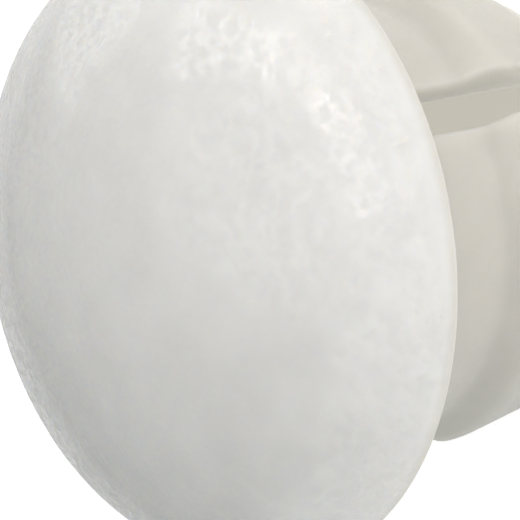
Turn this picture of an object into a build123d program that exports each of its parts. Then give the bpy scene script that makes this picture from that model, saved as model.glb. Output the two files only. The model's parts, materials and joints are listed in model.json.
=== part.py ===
from build123d import *
import os
from math import atan2, degrees, hypot, radians, tan

# Domed snap-in plug for a round hole in a panel: one injection moulding in white thermoplastic.
#
# Frame: the rim seats on the panel in the plane z = 0, and the axis of the plug is the Z axis. The
# dome rises above the seat. The split barrel goes down from it, through the hole, and its barbs
# catch behind the panel. All sizes are in millimetres.

# Hole in the panel
HOLE_DIAMETER = 12.7
NECK_CLEARANCE = 0.2          # on the diameter, between the hole and the neck of the barrel

# Head: a shallow crown arc blended by an edge arc into a low upright rim
HEAD_DIAMETER = 18.6
HEAD_HEIGHT = 6.0             # seat to the top of the crown
RIM_HEIGHT = 0.3              # upright part of the rim, below the edge arc
EDGE_RADIUS = 4.0
HEAD_WALL = 1.2               # least thickness under the crown, and at the seat
CORE_FLAT_RADIUS = 2.7        # flat top of the hollow under the crown
RIM_CHAMFER = 0.12            # outer and inner corner of the seat

# Barrel
BARREL_LENGTH = 8.9           # seat to the tips of the fingers
NECK_WALL = 0.85
BORE_DRAFT = 0.3              # degrees, opens the bore towards its mouth for the core pin
GRIP_LENGTH = 4.5             # seat to the foot of the barb, the thickest panel that it holds
BARB_HOOK = 0.6               # how far the barb stands out past the neck, on the radius
BARB_RAMP_LENGTH = 0.95       # height of the retaining ramp, from its foot to the crest
BARB_ROUNDING = 0.8           # of the crest, between the ramp and the lead-in
LEAD_IN_ANGLE = 11.0          # degrees, half angle of the long lead-in below the crest
NOSE_LENGTH = 1.0             # height of the steeper nose that ends the lead-in at the tips
TIP_CLEARANCE = 0.5           # on the radius, by which the tips clear the hole to find it
TIP_CHAMFER = 0.1             # all round the end face of each finger
ROOT_CHAMFER = 0.35           # where the barrel grows out of the head, inside and outside

# Slots that part the barrel into fingers
SLOT_COUNT = 3
SLOT_WIDTH = 1.4
SLOT_START_ANGLE = -90.0      # degrees from +X to the middle of the first slot
COLLAR_HEIGHT = 0.9           # unbroken ring between the seat and the roots of the slots
SLOT_EDGE_ROUNDING = 0.2      # where each slot breaks out through the outside of the barrel

SAME_HEIGHT = 1e-4            # corners and faces nearer than this in height count as level

# Derived radii and heights
head_radius = HEAD_DIAMETER / 2
neck_radius = (HOLE_DIAMETER - NECK_CLEARANCE) / 2
barb_radius = neck_radius + BARB_HOOK
tip_radius = HOLE_DIAMETER / 2 - TIP_CLEARANCE
bore_radius = neck_radius - NECK_WALL
barb_height = -(GRIP_LENGTH + BARB_RAMP_LENGTH)
nose_height = NOSE_LENGTH - BARREL_LENGTH
nose_radius = barb_radius - (barb_height - nose_height) * tan(radians(LEAD_IN_ANGLE))

# The crown arc is centred on the axis and tangent to the edge arc: the distance between the two
# centres is the difference of their radii, which gives the crown radius.
edge_centre = (head_radius - EDGE_RADIUS, RIM_HEIGHT)
edge_drop = HEAD_HEIGHT - RIM_HEIGHT
crown_radius = (edge_centre[0] ** 2 + edge_drop ** 2 - EDGE_RADIUS ** 2) / (2 * (edge_drop - EDGE_RADIUS))
crown_centre = (0, HEAD_HEIGHT - crown_radius)
blend_angle = degrees(atan2(edge_centre[1] - crown_centre[1], edge_centre[0]))


def dome_face(inset):
    """Half section of the solid head from the axis out, its skin moved in by inset."""
    crown_arc = CenterArc(crown_centre, crown_radius - inset, blend_angle, 90 - blend_angle)
    edge_arc = CenterArc(edge_centre, EDGE_RADIUS - inset, 0, blend_angle)
    rim_radius = head_radius - inset
    foot = Polyline((rim_radius, RIM_HEIGHT), (rim_radius, 0), (0, 0), (0, HEAD_HEIGHT - inset))
    return make_face(crown_arc + edge_arc + foot)


def core_face():
    """Half section of the hollow under the head: a flat top, a coned ceiling and a drafted wall."""
    inner_radius = crown_radius - HEAD_WALL
    flat_height = crown_centre[1] + (inner_radius**2 - CORE_FLAT_RADIUS**2) ** 0.5
    foot = CenterArc(crown_centre, inner_radius, blend_angle, 90 - blend_angle) @ 0
    return make_face(
        Polyline(
            (0, flat_height),
            (CORE_FLAT_RADIUS, flat_height),
            foot,
            (head_radius - HEAD_WALL, 0),
            (0, 0),
            close=True,
        )
    )


def bore_radius_at(height):
    """Radius of the drafted bore at a height above the seat."""
    return bore_radius - height * tan(radians(BORE_DRAFT))


def barrel_face():
    """Half section of the barrel, from its tip up into the skin of the head."""
    wall = make_face(
        Polyline(
            (bore_radius_at(HEAD_HEIGHT), HEAD_HEIGHT),
            (bore_radius_at(-BARREL_LENGTH), -BARREL_LENGTH),
            (tip_radius, -BARREL_LENGTH),
            (nose_radius, nose_height),
            (barb_radius, barb_height),
            (neck_radius, -GRIP_LENGTH),
            (neck_radius, HEAD_HEIGHT),
            close=True,
        )
    )
    below_seat = Pos(0, -BARREL_LENGTH / 2) * Rectangle(2 * HEAD_DIAMETER, BARREL_LENGTH)
    return wall & (dome_face(HEAD_WALL / 2) + below_seat)


def corners_at(face, height):
    """Corners of a half section at a height."""
    return face.vertices().filter_by(lambda corner: abs(corner.Y - height) < SAME_HEIGHT)


def root_corners(face):
    """The two corners where the barrel's inner and outer walls grow out of the skin of the head."""
    return face.vertices().filter_by(
        lambda corner: abs(corner.X - neck_radius + NECK_WALL / 2) < NECK_WALL
        and RIM_HEIGHT < corner.Y < HEAD_HEIGHT - HEAD_WALL
    )


def plug_section():
    """Half section of the whole moulding, before the slots are cut."""
    section = (dome_face(0) - core_face()) + barrel_face()
    section = chamfer(corners_at(section, 0), RIM_CHAMFER)
    section = chamfer(root_corners(section), ROOT_CHAMFER)
    return fillet(corners_at(section, barb_height), BARB_ROUNDING)


def slot_cutter():
    """Straight-sided slot with a full-round root, cut radially through the wall on the +X side."""
    root_centre = -(COLLAR_HEIGHT + SLOT_WIDTH / 2)
    length = BARREL_LENGTH + root_centre + SLOT_WIDTH
    outline = Circle(SLOT_WIDTH / 2) + Pos(0, -length / 2) * Rectangle(SLOT_WIDTH, length)
    inner_face = Plane.YZ.offset(bore_radius / 2)
    return extrude(inner_face * Pos(0, root_centre) * outline, barb_radius)


def slot_edges(body):
    """Edges along which the slots break out through the outside of the barrel, short of its end."""
    wall_middle = (bore_radius_at(-BARREL_LENGTH) + tip_radius) / 2
    return body.edges().filter_by(
        lambda edge: edge.geom_type != GeomType.CIRCLE
        and hypot(edge.center().X, edge.center().Y) > wall_middle
        and -BARREL_LENGTH + TIP_CHAMFER < edge.center().Z < -COLLAR_HEIGHT / 2
    )


def plug_body():
    """The moulding: the section turned about the axis, with the slots cut and their edges softened."""
    body = revolve(Plane.XZ * plug_section(), Axis.Z)
    for slot in range(SLOT_COUNT):
        body -= Rot(0, 0, SLOT_START_ANGLE + slot * 360 / SLOT_COUNT) * slot_cutter()
    body = fillet(slot_edges(body), SLOT_EDGE_ROUNDING)
    finger_ends = body.faces().filter_by(lambda face: abs(face.center().Z + BARREL_LENGTH) < SAME_HEIGHT)
    return chamfer(finger_ends.edges(), TIP_CHAMFER)


os.makedirs("parts", exist_ok=True)
body = plug_body()
body.label = "plug_body"
export_step(body, "parts/plug_body.step")
print("solids", len(body.solids()), "volume", round(body.volume, 2), "crown radius", round(crown_radius, 3))
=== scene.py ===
import json
import math

import bmesh
import bpy
from bpy.props import FloatProperty, FloatVectorProperty, IntProperty, PointerProperty
from mathutils import Matrix, Vector


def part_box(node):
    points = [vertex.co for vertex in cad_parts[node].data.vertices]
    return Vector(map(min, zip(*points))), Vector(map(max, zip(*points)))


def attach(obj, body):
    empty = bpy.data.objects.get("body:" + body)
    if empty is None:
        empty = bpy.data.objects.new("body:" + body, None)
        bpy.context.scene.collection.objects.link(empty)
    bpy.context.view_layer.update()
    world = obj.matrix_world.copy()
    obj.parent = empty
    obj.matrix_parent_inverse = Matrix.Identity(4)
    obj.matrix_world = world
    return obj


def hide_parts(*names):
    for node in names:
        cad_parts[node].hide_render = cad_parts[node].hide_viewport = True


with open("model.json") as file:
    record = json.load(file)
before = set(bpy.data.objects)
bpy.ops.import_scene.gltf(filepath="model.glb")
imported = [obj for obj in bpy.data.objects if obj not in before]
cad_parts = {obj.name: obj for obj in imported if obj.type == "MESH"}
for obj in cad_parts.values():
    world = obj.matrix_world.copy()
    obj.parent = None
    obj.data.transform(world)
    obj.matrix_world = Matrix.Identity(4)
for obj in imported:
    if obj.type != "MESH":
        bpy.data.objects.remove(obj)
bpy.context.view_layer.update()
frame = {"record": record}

bl_info = {
    "name": "Hole Plug",
    "version": (1, 0, 0),
    "blender": (4, 5, 0),
    "location": "View3D > Sidebar > Hole Plug",
    "description": "Models the moulding of a snap-in hole plug and sets up its studio",
    "category": "Object",
}

MM = 0.001
CAD_NODE = "plug_body"
CAD_LOW, CAD_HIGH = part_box(CAD_NODE)
HOLE_MOUNT = next(m for m in frame["record"]["mounts"] if m["name"] == "panel_hole")
NECK_RADIUS = HOLE_MOUNT["dims"]["r_mm"] * MM
GRIP_LENGTH = HOLE_MOUNT["dims"]["length_mm"] * MM

# mesh
TURN_STEPS = 192  # columns of faces round the axis
CROWN_STEPS = 28  # steps of the two arcs of the head
EDGE_STEPS = 36
CORNER_STEPS = {  # steps of each rounded corner of the section
    "rim": 6,
    "pocket": 5,
    "outer root": 8,
    "foot": 6,
    "crest": 10,
    "nose": 6,
    "inner root": 6,
}
SLOT_EDGE_STEPS = 5  # steps of the rounding along a slot, and round the end of a finger
TIP_STEPS = 3
SLOT_ROOT_STEPS = 24  # faces round the full-round root of a slot
SLOT_COLUMNS_CLEARED = (1, 3, 4)  # columns off the middle of a slot that its edge would run along
MERGE_DISTANCE = 0.002 * MM  # corners nearer than this become one after a cut
CREASE_ANGLE = math.radians(40)  # an edge that folds more than this is rounded
SMOOTH_ANGLE = math.radians(35)  # an edge that folds less than this is shaded smooth

# skin: levels of noise between which a ring round a blotch, or a speck, rises or falls
RING_RISES = (0.41, 0.47)
RING_FALLS = (0.53, 0.59)
SPECK_RISES = (0.52, 0.62)
HEAD_COLOUR_RISES = (0.0, 0.5 * MM)  # heights between which the barrel's colour turns into the head's

# studio
FLOOR_SIZE = 4.0
INNER_FLOOR_ENDS = (5.0 * MM, 6.5 * MM)  # radii between which the floor inside the barrel ends
PAPER_SHARE = 0.5  # of the floor that glows as paper, the rest being matt
PAPER_SHARE_SEEN = 0.85  # the same as the camera sees it
FILL_COLOUR = (0.98, 1.0, 0.99)
FILL_STRENGTH = 0.08  # even light from all round
FLOOR_BOUNCE = 1.8  # level of the matt share of the floor, as it lights the plug
FLOOR_SEEN = 2.6  # and as the camera sees it
FLOOR_GLOW = 0.2  # of the open floor, which lights the plug from below
# painted shade: the warm grey the camera sees on the floor inside the barrel, through a slot
INNER_PAINTED_SHADE = (0.51, 0.485, 0.415)  # of the floor that is seen through a slot
# painted glow: the floor inside the barrel gives off light to brighten the barrel from the inside
INNER_GLOW = 0.75  # of the floor that the barrel encloses, which lights it from the inside
LAMP_DISTANCE = 0.4
AIM_RIGHT = 0.398 * MM  # from the origin to the point that the camera looks at
AIM_DOWN = 0.594 * MM
# name, azimuth and elevation in degrees, watts, colour, width and height in metres
LAMPS = (
    ("key_lamp", 30, 28, 0.285, (1.0, 0.95, 0.92), 0.28, 0.20),
    ("upper_lamp", 70, 40, 0.32, (1.0, 0.99, 0.97), 0.26, 0.18),
    ("front_lamp", -2, 25, 0.37, (1.0, 0.96, 0.97), 0.30, 0.26),
    ("side_lamp", 110, 15, 0.21, (0.97, 1.0, 0.98), 0.28, 0.2),
    ("camera_lamp", -40, 35, 0.19, (1.0, 0.99, 1.0), 0.5, 0.4),
    ("left_lamp", -68, 20, 0.55, (0.99, 1.0, 1.0), 0.7, 0.45),
    ("low_lamp", -130, 8, 0.12, (0.9, 1.0, 0.94), 0.28, 0.2),
    ("back_lamp", 170, 28, 0.15, (0.94, 0.98, 1.0), 0.45, 0.35),
    ("top_lamp", 20, 75, 0.40, (0.99, 1.0, 0.99), 0.4, 0.4),
)


def length_property(name, description, default, **limits):
    """A length in metres that the sidebar shows in the scene's own unit."""
    return FloatProperty(
        name=name, description=description, default=default, min=0.0, unit="LENGTH", precision=5, **limits
    )


class PlugSizes(bpy.types.PropertyGroup):
    """Sizes of the moulding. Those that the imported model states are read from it."""

    head_radius: length_property(
        "Head radius", "Radius of the domed head at its rim", CAD_HIGH.x
    )
    head_height: length_property(
        "Head height", "From the seat under the rim to the top of the crown", CAD_HIGH.z
    )
    rim_height: length_property(
        "Rim height", "Upright part of the rim, below the edge arc", 0.3 * MM
    )
    edge_radius: length_property(
        "Edge radius", "Arc that blends the crown into the rim", 4.0 * MM
    )
    rim_rounding: length_property(
        "Rim rounding", "Outer and inner corner of the seat", 0.12 * MM
    )
    head_wall: length_property(
        "Head wall", "Least thickness under the crown, and thickness at the seat", 1.2 * MM
    )
    core_flat: length_property(
        "Flat of the hollow", "Radius of the flat top of the hollow under the crown", 2.7 * MM
    )
    root_rounding: length_property(
        "Root rounding", "Fillet where the barrel grows out of the head", 0.35 * MM
    )
    neck_radius: length_property(
        "Neck radius", "Outside of the barrel where it fills the hole", NECK_RADIUS
    )
    neck_wall: length_property(
        "Neck wall", "Thickness of the barrel at the seat", 0.85 * MM
    )
    bore_draft: FloatProperty(
        name="Bore draft",
        description="Taper of the bore, which opens towards the tips",
        default=math.radians(0.3),
        subtype="ANGLE",
    )
    grip_length: length_property(
        "Grip length", "From the seat to the foot of the barb", GRIP_LENGTH
    )
    barb_hook: length_property(
        "Barb hook", "How far the barb stands out past the neck", 0.6 * MM
    )
    barb_ramp: length_property(
        "Barb ramp", "Height of the retaining ramp, from its foot to the crest", 0.95 * MM
    )
    barb_rounding: length_property(
        "Barb rounding", "Rounding of the foot and crest of the barb and of the nose", 0.8 * MM
    )
    lead_in_angle: FloatProperty(
        name="Lead-in",
        description="Half angle of the long lead-in below the crest",
        default=math.radians(11),
        subtype="ANGLE",
    )
    nose_length: length_property(
        "Nose", "Height of the steeper nose that ends the lead-in at the tips", 1.0 * MM
    )
    barrel_length: length_property(
        "Barrel length", "From the seat to the tips of the fingers", -CAD_LOW.z
    )
    tip_radius: length_property(
        "Tip radius", "Outside of the barrel at the tips", 5.85 * MM
    )
    tip_rounding: length_property(
        "Tip rounding", "All round the end face of each finger", 0.1 * MM
    )
    slot_count: IntProperty(
        name="Slots", description="Slots that part the barrel into fingers", default=3, min=1, max=8
    )
    slot_width: length_property(
        "Slot width", "Between the straight sides of a slot", 1.4 * MM
    )
    slot_angle: FloatProperty(
        name="First slot",
        description="Angle of the middle of the first slot from +X",
        default=math.radians(-90),
        subtype="ANGLE",
    )
    collar_height: length_property(
        "Collar", "Unbroken ring between the seat and the roots of the slots", 0.9 * MM
    )
    slot_rounding: length_property(
        "Slot rounding", "Where a slot breaks out through the outside of the barrel", 0.2 * MM
    )


class PlugFinish(bpy.types.PropertyGroup):
    """Colour and surface of the plastic."""

    plastic: FloatVectorProperty(
        name="Plastic",
        description="Colour of the white plastic",
        subtype="COLOR",
        default=(0.88, 0.88, 0.865),
        min=0.0,
        max=1.0,
    )
    # painted shade: the barrel is the same plastic as the head; this greyer, warmer colour stands in for the
    # head's shadow on it and the light lost through its thin walls
    barrel_painted_shade: FloatVectorProperty(
        name="Thin plastic",
        description="Colour of the thin walls of the barrel, which let light through",
        subtype="COLOR",
        default=(0.735, 0.72, 0.665),
        min=0.0,
        max=1.0,
    )
    roughness: FloatProperty(
        name="Roughness", description="Mean roughness of the skin", default=0.4, min=0.0, max=1.0
    )
    grain_size: length_property(
        "Grain size", "Width of a grain that the mould left in the skin", 0.25 * MM
    )
    grain_depth: length_property(
        "Grain depth", "Height of the grain from its hollows to its tops", 0.011 * MM
    )
    sheen: FloatProperty(
        name="Sheen", description="Strength of the rings and specks that shine", default=0.8, min=0.0, max=1.0
    )


class PlugStudio(bpy.types.PropertyGroup):
    """Camera, lamps and floor."""

    azimuth: FloatProperty(
        name="Azimuth",
        description="Camera's angle round the axis of the plug, from -Y towards +X",
        default=math.radians(-24.6),
        subtype="ANGLE",
    )
    elevation: FloatProperty(
        name="Elevation",
        description="Camera's angle above the plane of the seat",
        default=math.radians(37.8),
        subtype="ANGLE",
    )
    tilt: FloatProperty(
        name="Tilt",
        description="How far the tips of the plug point up in the view, which has them on its right",
        default=math.radians(10.58),
        subtype="ANGLE",
    )
    distance: length_property("Distance", "From the camera to the plug", 186 * MM)
    field: length_property("Field", "Width of the view at the plug", 14.79 * MM)


# ---------------------------------------------------------------- modelling


def deselect_all():
    """Leaves nothing selected, neither the CAD nodes nor an earlier piece."""
    bpy.ops.object.select_all(action="DESELECT")


def make_active(piece):
    """Selects one piece and makes it the active one."""
    deselect_all()
    piece.select_set(True)
    bpy.context.view_layer.objects.active = piece


def edit(piece, select_mode):
    """Opens one piece in edit mode with nothing in it selected."""
    make_active(piece)
    bpy.ops.object.mode_set(mode="EDIT")
    bpy.ops.mesh.select_mode(type=select_mode)
    bpy.ops.mesh.select_all(action="DESELECT")


def object_mode():
    """Closes edit mode."""
    bpy.ops.object.mode_set(mode="OBJECT")


def select_edges(piece, wanted):
    """Selects the edges of the piece in edit mode for which wanted(edge) is true."""
    mesh = bmesh.from_edit_mesh(piece.data)
    chosen = [edge for edge in mesh.edges if wanted(edge)]
    for edge in chosen:
        edge.select_set(True)
    bmesh.update_edit_mesh(piece.data)
    if not chosen:
        raise RuntimeError(f"no edge of {piece.name} is where it was looked for")


def at(radius, height):
    """A point of the half section, which is drawn in the XZ plane."""
    return Vector((radius, 0, height))


class Outline:
    """A half section drawn in edit mode as one chain of edges, by moving its end on."""

    def __init__(self, name, start):
        deselect_all()
        bpy.ops.mesh.primitive_plane_add(size=MM)
        self.piece = bpy.context.active_object
        self.piece.name = name
        self.piece.data.name = name
        bpy.ops.object.mode_set(mode="EDIT")
        bpy.ops.mesh.select_mode(type="VERT")
        bpy.ops.mesh.select_all(action="SELECT")
        bpy.ops.mesh.merge(type="CENTER")
        bpy.ops.transform.translate(value=start)
        self.end = start

    def line_to(self, point):
        """Extrudes the end in a straight line."""
        bpy.ops.mesh.extrude_vertices_move(TRANSFORM_OT_translate={"value": point - self.end})
        self.end = point

    def arc(self, centre, turn, steps):
        """Spins the end about a centre; a positive turn goes from +Z towards +X."""
        bpy.ops.mesh.spin(steps=steps, angle=-turn, center=centre, axis=(0, 1, 0))
        self.end = centre + Matrix.Rotation(turn, 3, "Y") @ (self.end - centre)

    def round_corner(self, corner, towards, radius, steps):
        """Draws a line up to a rounded corner and the arc round it, which leaves towards a point."""
        back = (self.end - corner).normalized()
        onward = (towards - corner).normalized()
        half_angle = back.angle(onward) / 2
        middle = (back + onward).normalized()
        centre = corner + middle * radius / math.sin(half_angle)
        self.line_to(corner + back * radius / math.tan(half_angle))
        turn = math.copysign(math.pi - 2 * half_angle, onward.cross(back).y)
        self.arc(centre, turn, steps)


class PlugForm:
    """Radii and heights of the plug that follow from its sizes."""

    def __init__(self, sizes):
        self.sizes = sizes
        edge_drop = sizes.head_height - sizes.rim_height
        self.edge_centre = at(sizes.head_radius - sizes.edge_radius, sizes.rim_height)
        self.crown_radius = (
            self.edge_centre.x ** 2 + edge_drop ** 2 - sizes.edge_radius ** 2
        ) / (2 * (edge_drop - sizes.edge_radius))
        self.crown_centre = at(0, sizes.head_height - self.crown_radius)
        blend = self.edge_centre - self.crown_centre
        self.crown_turn = math.atan2(blend.x, blend.z)
        self.bore_radius = sizes.neck_radius - sizes.neck_wall
        # the hollow touches an arc parallel to the crown at the corners of its ceiling
        inner_radius = self.crown_radius - sizes.head_wall
        flat_height = self.crown_centre.z + math.sqrt(inner_radius ** 2 - sizes.core_flat ** 2)
        self.shoulder = at(sizes.core_flat, flat_height)
        self.pocket_top = self.crown_centre + inner_radius * blend.normalized()
        self.outer_root = self.on_ceiling(sizes.neck_radius)
        self.inner_root = self.on_ceiling(self.bore_at(self.on_ceiling(self.bore_radius).z))
        self.foot = at(sizes.neck_radius, -sizes.grip_length)
        self.crest = self.foot + at(sizes.barb_hook, -sizes.barb_ramp)
        nose_height = sizes.nose_length - sizes.barrel_length
        taper = (self.crest.z - nose_height) * math.tan(sizes.lead_in_angle)
        self.nose = at(self.crest.x - taper, nose_height)
        self.tip = at(sizes.tip_radius, -sizes.barrel_length)

    def bore_at(self, height):
        """Radius of the drafted bore at a height."""
        return self.bore_radius - height * math.tan(self.sizes.bore_draft)

    def on_ceiling(self, radius):
        """Point of the coned ceiling of the hollow at a radius."""
        share = (radius - self.shoulder.x) / (self.pocket_top.x - self.shoulder.x)
        return self.shoulder.lerp(self.pocket_top, share)


def draw_section(form):
    """Half section of the moulding, from the top of the crown round to the top of the hollow."""
    sizes = form.sizes
    steps = CORNER_STEPS
    outline = Outline("plug_moulding", at(0, sizes.head_height))
    # outside of the head, down to the seat
    outline.arc(form.crown_centre, form.crown_turn, CROWN_STEPS)
    outline.arc(form.edge_centre, math.pi / 2 - form.crown_turn, EDGE_STEPS)
    inner_rim = sizes.head_radius - sizes.head_wall
    outline.round_corner(
        at(sizes.head_radius, 0), at(inner_rim, 0), sizes.rim_rounding, steps["rim"]
    )
    # the pocket between the rim and the barrel
    outline.round_corner(at(inner_rim, 0), form.pocket_top, sizes.rim_rounding, steps["pocket"])
    outline.line_to(form.pocket_top)
    outline.round_corner(form.outer_root, form.foot, sizes.root_rounding, steps["outer root"])
    # outside of the barrel, down to the tips
    outline.round_corner(form.foot, form.crest, sizes.barb_rounding, steps["foot"])
    outline.round_corner(form.crest, form.nose, sizes.barb_rounding, steps["crest"])
    outline.round_corner(form.nose, form.tip, sizes.barb_rounding, steps["nose"])
    outline.line_to(form.tip)
    # the bore, up to its ceiling and in to the axis
    outline.line_to(at(form.bore_at(form.tip.z), form.tip.z))
    outline.round_corner(form.inner_root, form.shoulder, sizes.root_rounding, steps["inner root"])
    outline.line_to(form.shoulder)
    outline.line_to(at(0, form.shoulder.z))
    return outline.piece


def turn_about_axis(piece, steps):
    """Spins the drawn half section into the turned body, and makes its faces point outwards."""
    bpy.ops.mesh.select_all(action="SELECT")
    bpy.ops.mesh.spin(steps=steps, angle=2 * math.pi, center=(0, 0, 0), axis=(0, 0, 1))
    bpy.ops.mesh.select_all(action="SELECT")
    bpy.ops.mesh.remove_doubles(threshold=0.001 * MM)
    bpy.ops.mesh.normals_make_consistent(inside=False)
    object_mode()


def slot_angles(sizes):
    """Angle of the middle of each slot from +X."""
    step = 2 * math.pi / sizes.slot_count
    return [sizes.slot_angle + slot * step for slot in range(sizes.slot_count)]


def off_slot(point, sizes):
    """Angle between a point and the middle of the nearest slot."""
    angle = math.atan2(point.y, point.x)
    return min(abs(math.remainder(angle - middle, 2 * math.pi)) for middle in slot_angles(sizes))


def radius_of(point):
    """Distance of a point from the axis."""
    return math.hypot(point.x, point.y)


def clear_columns(piece, form):
    """Dissolves the upright edges of the barrel where the edge of a slot and its rounding will run."""
    sizes = form.sizes
    step = 2 * math.pi / TURN_STEPS
    columns = [step * column for column in SLOT_COLUMNS_CLEARED]

    def in_the_way(edge):
        low, high = sorted((vertex.co for vertex in edge.verts), key=lambda point: point.z)
        angle = off_slot(low, sizes)
        upright = abs(angle - off_slot(high, sizes)) < step / 10
        on_barrel = max(radius_of(low), radius_of(high)) < form.crest.x + MM / 100
        outside = high.z < form.outer_root.z - sizes.root_rounding / 2
        bore = high.z < form.inner_root.z + MM / 2
        cleared = min(abs(angle - column) for column in columns) < step / 10
        return upright and on_barrel and (outside or bore) and cleared

    edit(piece, "EDGE")
    select_edges(piece, in_the_way)
    bpy.ops.mesh.dissolve_edges(use_verts=True)
    object_mode()


def slot_cutter(sizes, angle):
    """A bar with a full-round top that stands across the wall of the barrel at an angle."""
    root_radius = sizes.slot_width / 2
    middle = -sizes.collar_height - root_radius
    deselect_all()
    bpy.ops.mesh.primitive_cylinder_add(
        vertices=SLOT_ROOT_STEPS * 2,
        radius=root_radius,
        depth=sizes.neck_radius,
        location=(sizes.neck_radius, 0, middle),
        rotation=(0, math.pi / 2, 0),
    )
    cutter = bpy.context.active_object
    bpy.ops.object.transform_apply(location=True, rotation=True, scale=True)
    edit(cutter, "VERT")
    mesh = bmesh.from_edit_mesh(cutter.data)
    for vertex in mesh.verts:
        vertex.select_set(vertex.co.z < middle - MM / 100)
    mesh.select_flush(True)
    bmesh.update_edit_mesh(cutter.data)
    bpy.ops.transform.translate(value=(0, 0, -sizes.barrel_length))
    bpy.ops.mesh.select_all(action="SELECT")
    bpy.ops.transform.rotate(value=-angle, orient_axis="Z", center_override=(0, 0, 0))
    object_mode()
    return cutter


def cut_slots(piece, sizes):
    """Cuts each slot through the wall of the barrel."""
    for angle in slot_angles(sizes):
        cutter = slot_cutter(sizes, angle)
        make_active(piece)
        cut = piece.modifiers.new("slot", "BOOLEAN")
        cut.operation = "DIFFERENCE"
        cut.solver = "EXACT"
        cut.object = cutter
        bpy.ops.object.modifier_apply(modifier=cut.name)
        bpy.data.objects.remove(cutter)
    edit(piece, "VERT")
    bpy.ops.mesh.select_all(action="SELECT")
    bpy.ops.mesh.remove_doubles(threshold=MERGE_DISTANCE)
    object_mode()


def bevel(offset, segments):
    """Rounds the selected edges."""
    bpy.ops.mesh.bevel(offset=offset, segments=segments, clamp_overlap=False, loop_slide=True)


def soften_slot_edges(piece, form):
    """Rounds the edge along which each slot breaks out through the outside of the barrel."""
    sizes = form.sizes
    wall_middle = (form.bore_at(-sizes.barrel_length) + sizes.tip_radius) / 2

    def breaks_out(edge):
        middle = (edge.verts[0].co + edge.verts[1].co) / 2
        on_wall = radius_of(middle) > wall_middle
        on_finger = -sizes.barrel_length + MM / 100 < middle.z < -sizes.collar_height / 2
        return on_wall and on_finger and edge.calc_face_angle(0) > CREASE_ANGLE

    edit(piece, "EDGE")
    select_edges(piece, breaks_out)
    bevel(sizes.slot_rounding, SLOT_EDGE_STEPS)
    object_mode()


def soften_finger_ends(piece, sizes):
    """Rounds all the edges of the end face of each finger."""

    def round_the_end(edge):
        level = all(abs(vertex.co.z + sizes.barrel_length) < MM / 1000 for vertex in edge.verts)
        return level and edge.calc_face_angle(0) > CREASE_ANGLE

    edit(piece, "EDGE")
    select_edges(piece, round_the_end)
    bevel(sizes.tip_rounding, TIP_STEPS)
    object_mode()


def smooth(piece):
    """Shades the piece smooth across its arcs, with the flats beside a rounding kept flat."""
    make_active(piece)
    bpy.ops.object.shade_smooth_by_angle(angle=SMOOTH_ANGLE)
    weight = piece.modifiers.new("weights", "WEIGHTED_NORMAL")
    weight.keep_sharp = True
    bpy.ops.object.modifier_apply(modifier=weight.name)


# ---------------------------------------------------------------- finishes


class Signal:
    """Output of a node, on which Python's operators add Math nodes."""

    def __init__(self, graph, socket):
        self.graph = graph
        self.socket = socket

    def __add__(self, other):
        return self.graph.math("ADD", self, other)

    def __radd__(self, other):
        return self.graph.math("ADD", other, self)

    def __sub__(self, other):
        return self.graph.math("SUBTRACT", self, other)

    def __rsub__(self, other):
        return self.graph.math("SUBTRACT", other, self)

    def __mul__(self, other):
        return self.graph.math("MULTIPLY", self, other)

    def __rmul__(self, other):
        return self.graph.math("MULTIPLY", other, self)

    def __pow__(self, other):
        return self.graph.math("POWER", self, other)


class Graph:
    """Node tree of one material or world, built from nothing."""

    def __init__(self, tree):
        self.tree = tree
        self.tree.nodes.clear()

    def add(self, kind, output=0, settings=None, inputs=None):
        """Adds a node, gives it its settings and then its inputs, and returns one of its outputs."""
        node = self.tree.nodes.new(kind)
        for name, value in (settings or {}).items():
            if name == "stops":
                self.set_stops(node.color_ramp, value)
            else:
                setattr(node, name, value)
        for name, value in (inputs or {}).items():
            socket = node.inputs[name]
            if isinstance(value, Signal):
                self.tree.links.new(value.socket, socket)
            else:
                socket.default_value = value
        return Signal(self, node.outputs[output]) if node.outputs else None

    def set_stops(self, ramp, stops):
        """Gives a colour ramp its (position, colour) stops."""
        while len(ramp.elements) < len(stops):
            ramp.elements.new(1.0)
        for element, (position, colour) in zip(ramp.elements, stops):
            element.position = position
            element.color = colour

    def math(self, operation, left, right):
        """A Math node on two values."""
        return self.add("ShaderNodeMath", settings={"operation": operation}, inputs={0: left, 1: right})

    def mix_colour(self, factor, low, high, blend="MIX"):
        """A colour between two, by a factor."""
        return self.add(
            "ShaderNodeMix",
            output=2,
            settings={"data_type": "RGBA", "blend_type": blend},
            inputs={0: factor, 6: low, 7: high},
        )

    def ramp(self, value, *stops):
        """Grey ramp of a value through (position, level) stops."""
        greys = [(position, grey(level)) for position, level in stops]
        return self.add("ShaderNodeValToRGB", settings={"stops": greys}, inputs={"Fac": value})

    def grey(self, value):
        """A value as a grey colour."""
        return self.add("ShaderNodeCombineColor", inputs={"Red": value, "Green": value, "Blue": value})

    def between(self, value, low, high):
        """Rises smoothly from 0 to 1 as a value goes from low to high."""
        return self.add(
            "ShaderNodeMapRange",
            settings={"interpolation_type": "SMOOTHSTEP"},
            inputs={"Value": value, "From Min": low, "From Max": high},
        )

    def noise(self, coordinates, feature, detail, roughness=0.5):
        """Noise from 0 to 1 whose blotches are about as wide as the feature."""
        return self.add(
            "ShaderNodeTexNoise",
            inputs={"Vector": coordinates, "Scale": 1 / feature, "Detail": detail, "Roughness": roughness},
        )


def opaque(colour):
    """A property's colour with the alpha that a node's socket takes."""
    return (*colour, 1.0)


def grey(level):
    """An even grey with that alpha."""
    return (level, level, level, 1.0)


def new_material(name):
    """A material and the graph of its node tree."""
    material = bpy.data.materials.new(name)
    material.use_nodes = True
    return material, Graph(material.node_tree)


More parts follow.
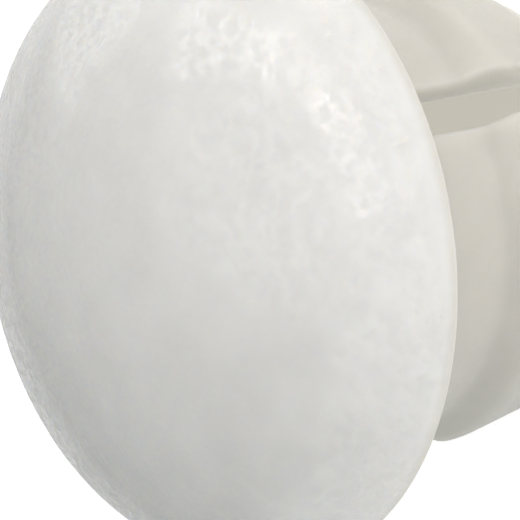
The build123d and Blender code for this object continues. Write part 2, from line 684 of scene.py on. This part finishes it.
def white_plastic(finish):
    """White moulded plastic: mould grain, a blotchy sheen, thin walls that let light through, and painted
    shade on the barrel.
    """
    material, graph = new_material("white_plastic_skin")
    place = graph.add("ShaderNodeTexCoord", output="Object")

    grain = graph.noise(place, finish.grain_size, 2.0)
    waves = graph.noise(place, finish.grain_size * 2, 2.0)
    blotches = graph.noise(place, finish.grain_size * 2.4, 2.0)
    specks = graph.noise(place, finish.grain_size, 1.0)
    cloud = graph.noise(place, finish.grain_size * 6, 3.0)

    # painted shade: the barrel is the same plastic as the head, but gets a greyer, warmer colour for the
    # head's shadow on it and the light its thin walls lose
    height = graph.add("ShaderNodeSeparateXYZ", output="Z", inputs={"Vector": place})
    head = graph.between(height, *HEAD_COLOUR_RISES)
    plastic = graph.mix_colour(head, opaque(finish.barrel_painted_shade), opaque(finish.plastic))
    # the skin shines in rings round its blotches, and in small specks
    rings = graph.between(blotches, *RING_RISES) - graph.between(blotches, *RING_FALLS)
    glints = graph.between(specks, *SPECK_RISES)
    shine = (rings * 0.6 + glints * 0.4) * (head * 0.8 + 0.2) * finish.sheen
    # a shiny place keeps some light off the plastic under it, which is made up for in its colour
    shade = graph.ramp(cloud, (0.3, 0.95), (0.7, 1.0)) * (shine * 0.06 + 0.94)
    colour = graph.mix_colour(1.0, plastic, graph.grey(shade), blend="MULTIPLY")
    roughness = finish.roughness + (grain - 0.5) * 0.2 + (cloud - 0.5) * 0.1
    relief = waves * 0.6 + grain * 0.4
    normal = graph.add(
        "ShaderNodeBump",
        output="Normal",
        inputs={"Strength": 1.0, "Distance": finish.grain_depth, "Height": relief},
    )
    skin = graph.add(
        "ShaderNodeBsdfPrincipled",
        inputs={
            "Base Color": colour,
            "Roughness": roughness,
            "Normal": normal,
            "IOR": 1.5,
            "Coat Weight": shine,
            "Coat Roughness": 0.14,
            "Coat IOR": 1.7,
            "Subsurface Weight": 1.0,
            "Subsurface Radius": (1.0, 0.9, 0.75),
            "Subsurface Scale": 1.0 * MM,
        },
    )
    graph.add("ShaderNodeOutputMaterial", inputs={"Surface": skin})
    return material


def floor_finish():
    """Matt floor that reads as white paper, keeps a soft shadow and is clear from below; inside the barrel it
    shows painted shade and gives off a painted glow.
    """
    material, graph = new_material("studio_floor")
    seen = graph.add("ShaderNodeLightPath", output="Is Camera Ray")
    below = graph.add("ShaderNodeNewGeometry", output="Backfacing")
    place = graph.add("ShaderNodeTexCoord", output="Object")
    x = graph.add("ShaderNodeSeparateXYZ", output="X", inputs={"Vector": place})
    y = graph.add("ShaderNodeSeparateXYZ", output="Y", inputs={"Vector": place})
    # painted shade and glow: the camera sees the floor that the barrel encloses as a warm grey painted shade,
    # and that floor glows to light the barrel from the inside
    open_floor = graph.between((x * x + y * y) ** 0.5, *INNER_FLOOR_ENDS)
    paper_and_painted_shade = graph.mix_colour(seen * (1 - open_floor), grey(1.0), opaque(INNER_PAINTED_SHADE))
    glow = open_floor * FLOOR_GLOW + (1 - open_floor) * INNER_GLOW
    bounce = graph.mix_colour(seen, grey(FLOOR_BOUNCE), grey(FLOOR_SEEN))
    strength = seen + (1 - seen) * (1 / PAPER_SHARE) * glow
    matt = graph.add("ShaderNodeBsdfDiffuse", inputs={"Color": bounce})
    paper = graph.add("ShaderNodeEmission", inputs={"Color": paper_and_painted_shade, "Strength": strength})
    clear = graph.add("ShaderNodeBsdfTransparent")
    share = seen * (PAPER_SHARE_SEEN - PAPER_SHARE) + PAPER_SHARE
    lit = graph.add("ShaderNodeMixShader", inputs={0: share, 1: matt, 2: paper})
    surface = graph.add("ShaderNodeMixShader", inputs={0: seen * below, 1: lit, 2: clear})
    graph.add("ShaderNodeOutputMaterial", inputs={"Surface": surface})
    return material


def studio_world():
    """Even light from all round, seen by the camera as white."""
    world = bpy.data.worlds.new("studio_world")
    world.use_nodes = True
    graph = Graph(world.node_tree)
    seen = graph.add("ShaderNodeLightPath", output="Is Camera Ray")
    fill = graph.add(
        "ShaderNodeBackground", inputs={"Color": opaque(FILL_COLOUR), "Strength": FILL_STRENGTH}
    )
    white = graph.add("ShaderNodeBackground", inputs={"Color": grey(1.0), "Strength": 1.0})
    sky = graph.add("ShaderNodeMixShader", inputs={0: seen, 1: fill, 2: white})
    graph.add("ShaderNodeOutputWorld", inputs={"Surface": sky})
    bpy.context.scene.world = world


# ---------------------------------------------------------------- studio


def direction(azimuth, elevation):
    """Unit vector out from the plug; azimuth 0 is along -Y and turns towards +X."""
    return Vector(
        (
            math.sin(azimuth) * math.cos(elevation),
            -math.cos(azimuth) * math.cos(elevation),
            math.sin(elevation),
        )
    )


def add_lamp(name, azimuth, elevation, watts, colour, width, height):
    """A soft box that faces the plug from a direction given in degrees."""
    out = direction(math.radians(azimuth), math.radians(elevation))
    bpy.ops.object.light_add(type="AREA", location=out * LAMP_DISTANCE)
    lamp = bpy.context.active_object
    lamp.name = name
    lamp.rotation_euler = out.to_track_quat("Z", "Y").to_euler()
    lamp.data.shape = "RECTANGLE"
    lamp.data.size = width
    lamp.data.size_y = height
    lamp.data.energy = watts
    lamp.data.color = colour


def add_camera(studio):
    """Looks down on the plug with its tips on the right of the view, pointing a little up."""
    back = direction(studio.azimuth, studio.elevation)
    right = Vector((math.cos(studio.azimuth), math.sin(studio.azimuth), 0))
    up = back.cross(right)
    view_right = -math.cos(studio.tilt) * up - math.sin(studio.tilt) * right
    view_up = -math.sin(studio.tilt) * up + math.cos(studio.tilt) * right
    aim = view_right * AIM_RIGHT - view_up * AIM_DOWN
    data = bpy.data.cameras.new("studio_camera")
    camera = bpy.data.objects.new("studio_camera", data)
    bpy.context.scene.collection.objects.link(camera)
    data.sensor_width = 36.0
    data.lens = data.sensor_width * studio.distance / studio.field
    data.clip_start = studio.distance / 100
    data.clip_end = studio.distance * 100
    camera.rotation_euler = Matrix((view_right, view_up, back)).transposed().to_euler()
    camera.location = aim + back * studio.distance
    bpy.context.scene.camera = camera


class AddMoulding(bpy.types.Operator):
    """Models the moulding and puts it in the place of the plain CAD node"""

    bl_idname = "hole_plug.add_moulding"
    bl_label = "Moulding"

    def execute(self, context):
        form = PlugForm(context.scene.plug_sizes)
        piece = draw_section(form)
        turn_about_axis(piece, TURN_STEPS)
        clear_columns(piece, form)
        cut_slots(piece, form.sizes)
        soften_slot_edges(piece, form)
        soften_finger_ends(piece, form.sizes)
        smooth(piece)
        piece.data.materials.append(white_plastic(context.scene.plug_finish))
        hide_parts(CAD_NODE)
        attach(piece, "root")
        return {"FINISHED"}


class AddStudio(bpy.types.Operator):
    """Sets up the floor, the lamps, the surroundings and the camera"""

    bl_idname = "hole_plug.add_studio"
    bl_label = "Studio"

    def execute(self, context):
        studio = context.scene.plug_studio
        deselect_all()
        bpy.ops.mesh.primitive_plane_add(size=FLOOR_SIZE)
        floor = bpy.context.active_object
        floor.name = "studio_floor"
        edit(floor, "VERT")
        bpy.ops.mesh.select_all(action="SELECT")
        bpy.ops.transform.translate(value=(0, 0, CAD_LOW.z))
        object_mode()
        floor.data.materials.append(floor_finish())
        studio_world()
        for lamp in LAMPS:
            add_lamp(*lamp)
        add_camera(studio)
        context.scene.view_settings.view_transform = "Standard"
        return {"FINISHED"}


class PlugPanel(bpy.types.Panel):
    """Lists the operators and the sizes in the sidebar."""

    bl_idname = "VIEW3D_PT_hole_plug"
    bl_label = "Hole Plug"
    bl_space_type = "VIEW_3D"
    bl_region_type = "UI"
    bl_category = "Hole Plug"

    def draw(self, context):
        layout = self.layout
        for operator in OPERATORS:
            layout.operator(operator.bl_idname)
        for group in (context.scene.plug_sizes, context.scene.plug_finish, context.scene.plug_studio):
            box = layout.box()
            for name in group.__annotations__:
                box.prop(group, name)


GROUPS = {"plug_sizes": PlugSizes, "plug_finish": PlugFinish, "plug_studio": PlugStudio}
OPERATORS = (AddMoulding, AddStudio)
CLASSES = (*GROUPS.values(), *OPERATORS, PlugPanel)


def register():
    """Registers the classes and hangs the property groups on the scene."""
    for entry in CLASSES:
        bpy.utils.register_class(entry)
    for name, group in GROUPS.items():
        setattr(bpy.types.Scene, name, PointerProperty(type=group))


def unregister():
    """Takes back what register did."""
    for name in GROUPS:
        delattr(bpy.types.Scene, name)
    for entry in reversed(CLASSES):
        bpy.utils.unregister_class(entry)


def main():
    """Builds the pieces and the studio."""
    register()
    bpy.ops.hole_plug.add_moulding()
    bpy.ops.hole_plug.add_studio()


if __name__ == "__main__":
    main()
